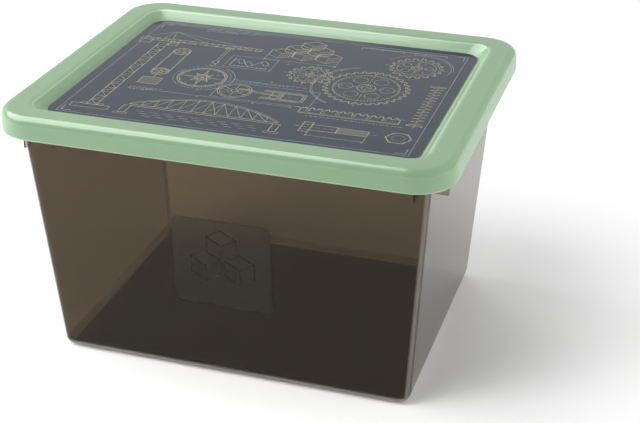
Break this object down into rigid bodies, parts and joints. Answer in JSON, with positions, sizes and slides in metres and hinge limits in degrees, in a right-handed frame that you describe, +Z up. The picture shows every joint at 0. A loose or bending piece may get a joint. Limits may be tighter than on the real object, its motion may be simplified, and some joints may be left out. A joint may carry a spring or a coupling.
{
  "type": "building block storage box",
  "caption": "Tapered see-through storage tub with a deep lift-off lid whose recess holds a printed sheet and takes a stacked box.",
  "frame": {"origin": "centre of the footprint, on the surface that the box stands on", "axes": "+X along the width to the right seen from the front, -Y towards the front wall with the pad, +Z up"},
  "size_m": [0.385, 0.3076, 0.236],
  "materials": {
    "smoked_plastic": "translucent smoked brown moulding, smooth with a soft shine",
    "green_plastic": "mint-green moulding, satin shine",
    "printed_sheet": "dark slate printed sheet, satin"
  },
  "bodies": {
    "bin": {"bin": "smoked_plastic"},
    "lid": {"lid": "green_plastic", "lid_graphic_sheet": "printed_sheet"}
  },
  "joints": [
    {"name": "lid_lift", "type": "slide", "parent": "bin", "child": "lid", "axis": [0, 0, 1], "range_m": [0, 0.15]}
  ]
}
